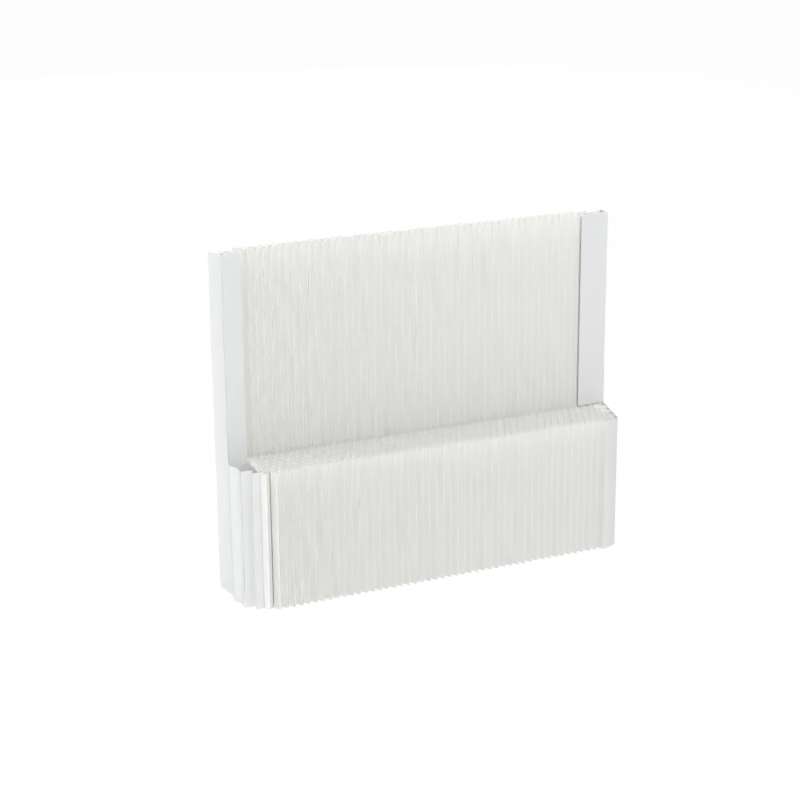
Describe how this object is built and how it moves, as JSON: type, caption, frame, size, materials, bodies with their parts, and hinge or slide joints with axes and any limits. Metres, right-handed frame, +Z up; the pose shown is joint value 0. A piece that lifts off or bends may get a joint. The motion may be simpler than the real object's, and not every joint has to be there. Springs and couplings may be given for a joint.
{
  "type": "pleated paper screen",
  "caption": "Free-standing honeycomb paper screen with a tall back wall and a low front step, drawn out or pushed together along its length.",
  "frame": {"origin": "on the floor, under the middle of the screen's bounding box when drawn out", "axes": "+Z up, +X along the length towards the moving end, -Y towards the low front step"},
  "size_m": [2.2455, 0.42, 1.84],
  "materials": {
    "leaf_paper": "matte",
    "end_board": "matte"
  },
  "bodies": {
    "left_end": {"left_end_sheet": "end_board", "left_front_strip": "end_board", "left_corner_fold": "leaf_paper", "left_cell_leaves": "leaf_paper", "left_leaf_pair": "leaf_paper"},
    "block_01": {"leaf_block_01": "leaf_paper"},
    "block_02": {"leaf_block_02": "leaf_paper"},
    "block_03": {"leaf_block_03": "leaf_paper"},
    "block_04": {"leaf_block_04": "leaf_paper"},
    "block_05": {"leaf_block_05": "leaf_paper"},
    "block_06": {"leaf_block_06": "leaf_paper"},
    "block_07": {"leaf_block_07": "leaf_paper"},
    "block_08": {"leaf_block_08": "leaf_paper"},
    "block_09": {"leaf_block_09": "leaf_paper"},
    "block_10": {"leaf_block_10": "leaf_paper"},
    "block_11": {"leaf_block_11": "leaf_paper"},
    "block_12": {"leaf_block_12": "leaf_paper"},
    "block_13": {"leaf_block_13": "leaf_paper"},
    "block_14": {"leaf_block_14": "leaf_paper"},
    "block_15": {"leaf_block_15": "leaf_paper"},
    "block_16": {"leaf_block_16": "leaf_paper"},
    "block_17": {"leaf_block_17": "leaf_paper"},
    "block_18": {"leaf_block_18": "leaf_paper"},
    "block_19": {"leaf_block_19": "leaf_paper"},
    "block_20": {"leaf_block_20": "leaf_paper"},
    "block_21": {"leaf_block_21": "leaf_paper"},
    "block_22": {"leaf_block_22": "leaf_paper"},
    "block_23": {"leaf_block_23": "leaf_paper"},
    "block_24": {"leaf_block_24": "leaf_paper"},
    "right_end": {"right_leaf_pair_1": "leaf_paper", "right_leaf_pair_2": "leaf_paper", "right_end_sheet": "end_board", "right_front_strip": "end_board"}
  },
  "joints": [
    {"name": "extend", "type": "slide", "parent": "left_end", "child": "right_end", "axis": [1, 0, 0], "range_m": [-1, 0]},
    {"name": "pleat_01", "type": "slide", "parent": "left_end", "child": "block_01", "axis": [1, 0, 0], "range_m": [-0.02083, 0], "deforming": ["leaf_block_01"]},
    {"name": "pleat_02", "type": "slide", "parent": "left_end", "child": "block_02", "axis": [1, 0, 0], "range_m": [-0.0625, 0], "deforming": ["leaf_block_02"]},
    {"name": "pleat_03", "type": "slide", "parent": "left_end", "child": "block_03", "axis": [1, 0, 0], "range_m": [-0.10417, 0], "deforming": ["leaf_block_03"]},
    {"name": "pleat_04", "type": "slide", "parent": "left_end", "child": "block_04", "axis": [1, 0, 0], "range_m": [-0.14583, 0], "deforming": ["leaf_block_04"]},
    {"name": "pleat_05", "type": "slide", "parent": "left_end", "child": "block_05", "axis": [1, 0, 0], "range_m": [-0.1875, 0], "deforming": ["leaf_block_05"]},
    {"name": "pleat_06", "type": "slide", "parent": "left_end", "child": "block_06", "axis": [1, 0, 0], "range_m": [-0.22917, 0], "deforming": ["leaf_block_06"]},
    {"name": "pleat_07", "type": "slide", "parent": "left_end", "child": "block_07", "axis": [1, 0, 0], "range_m": [-0.27083, 0], "deforming": ["leaf_block_07"]},
    {"name": "pleat_08", "type": "slide", "parent": "left_end", "child": "block_08", "axis": [1, 0, 0], "range_m": [-0.3125, 0], "deforming": ["leaf_block_08"]},
    {"name": "pleat_09", "type": "slide", "parent": "left_end", "child": "block_09", "axis": [1, 0, 0], "range_m": [-0.35417, 0], "deforming": ["leaf_block_09"]},
    {"name": "pleat_10", "type": "slide", "parent": "left_end", "child": "block_10", "axis": [1, 0, 0], "range_m": [-0.39583, 0], "deforming": ["leaf_block_10"]},
    {"name": "pleat_11", "type": "slide", "parent": "left_end", "child": "block_11", "axis": [1, 0, 0], "range_m": [-0.4375, 0], "deforming": ["leaf_block_11"]},
    {"name": "pleat_12", "type": "slide", "parent": "left_end", "child": "block_12", "axis": [1, 0, 0], "range_m": [-0.47917, 0], "deforming": ["leaf_block_12"]},
    {"name": "pleat_13", "type": "slide", "parent": "left_end", "child": "block_13", "axis": [1, 0, 0], "range_m": [-0.52084, 0], "deforming": ["leaf_block_13"]},
    {"name": "pleat_14", "type": "slide", "parent": "left_end", "child": "block_14", "axis": [1, 0, 0], "range_m": [-0.5625, 0], "deforming": ["leaf_block_14"]},
    {"name": "pleat_15", "type": "slide", "parent": "left_end", "child": "block_15", "axis": [1, 0, 0], "range_m": [-0.60417, 0], "deforming": ["leaf_block_15"]},
    {"name": "pleat_16", "type": "slide", "parent": "left_end", "child": "block_16", "axis": [1, 0, 0], "range_m": [-0.64584, 0], "deforming": ["leaf_block_16"]},
    {"name": "pleat_17", "type": "slide", "parent": "left_end", "child": "block_17", "axis": [1, 0, 0], "range_m": [-0.6875, 0], "deforming": ["leaf_block_17"]},
    {"name": "pleat_18", "type": "slide", "parent": "left_end", "child": "block_18", "axis": [1, 0, 0], "range_m": [-0.72917, 0], "deforming": ["leaf_block_18"]},
    {"name": "pleat_19", "type": "slide", "parent": "left_end", "child": "block_19", "axis": [1, 0, 0], "range_m": [-0.77084, 0], "deforming": ["leaf_block_19"]},
    {"name": "pleat_20", "type": "slide", "parent": "left_end", "child": "block_20", "axis": [1, 0, 0], "range_m": [-0.8125, 0], "deforming": ["leaf_block_20"]},
    {"name": "pleat_21", "type": "slide", "parent": "left_end", "child": "block_21", "axis": [1, 0, 0], "range_m": [-0.85417, 0], "deforming": ["leaf_block_21"]},
    {"name": "pleat_22", "type": "slide", "parent": "left_end", "child": "block_22", "axis": [1, 0, 0], "range_m": [-0.89584, 0], "deforming": ["leaf_block_22"]},
    {"name": "pleat_23", "type": "slide", "parent": "left_end", "child": "block_23", "axis": [1, 0, 0], "range_m": [-0.9375, 0], "deforming": ["leaf_block_23"]},
    {"name": "pleat_24", "type": "slide", "parent": "left_end", "child": "block_24", "axis": [1, 0, 0], "range_m": [-0.97917, 0], "deforming": ["leaf_block_24"]}
  ],
  "couplings": [
    {"joint": "pleat_01", "follows": "extend", "ratio": 0.020833},
    {"joint": "pleat_02", "follows": "extend", "ratio": 0.0625},
    {"joint": "pleat_03", "follows": "extend", "ratio": 0.10417},
    {"joint": "pleat_04", "follows": "extend", "ratio": 0.14583},
    {"joint": "pleat_05", "follows": "extend", "ratio": 0.1875},
    {"joint": "pleat_06", "follows": "extend", "ratio": 0.22917},
    {"joint": "pleat_07", "follows": "extend", "ratio": 0.27083},
    {"joint": "pleat_08", "follows": "extend", "ratio": 0.3125},
    {"joint": "pleat_09", "follows": "extend", "ratio": 0.35417},
    {"joint": "pleat_10", "follows": "extend", "ratio": 0.39583},
    {"joint": "pleat_11", "follows": "extend", "ratio": 0.4375},
    {"joint": "pleat_12", "follows": "extend", "ratio": 0.47917},
    {"joint": "pleat_13", "follows": "extend", "ratio": 0.52083},
    {"joint": "pleat_14", "follows": "extend", "ratio": 0.5625},
    {"joint": "pleat_15", "follows": "extend", "ratio": 0.60417},
    {"joint": "pleat_16", "follows": "extend", "ratio": 0.64583},
    {"joint": "pleat_17", "follows": "extend", "ratio": 0.6875},
    {"joint": "pleat_18", "follows": "extend", "ratio": 0.72917},
    {"joint": "pleat_19", "follows": "extend", "ratio": 0.77083},
    {"joint": "pleat_20", "follows": "extend", "ratio": 0.8125},
    {"joint": "pleat_21", "follows": "extend", "ratio": 0.85417},
    {"joint": "pleat_22", "follows": "extend", "ratio": 0.89583},
    {"joint": "pleat_23", "follows": "extend", "ratio": 0.9375},
    {"joint": "pleat_24", "follows": "extend", "ratio": 0.97917}
  ]
}
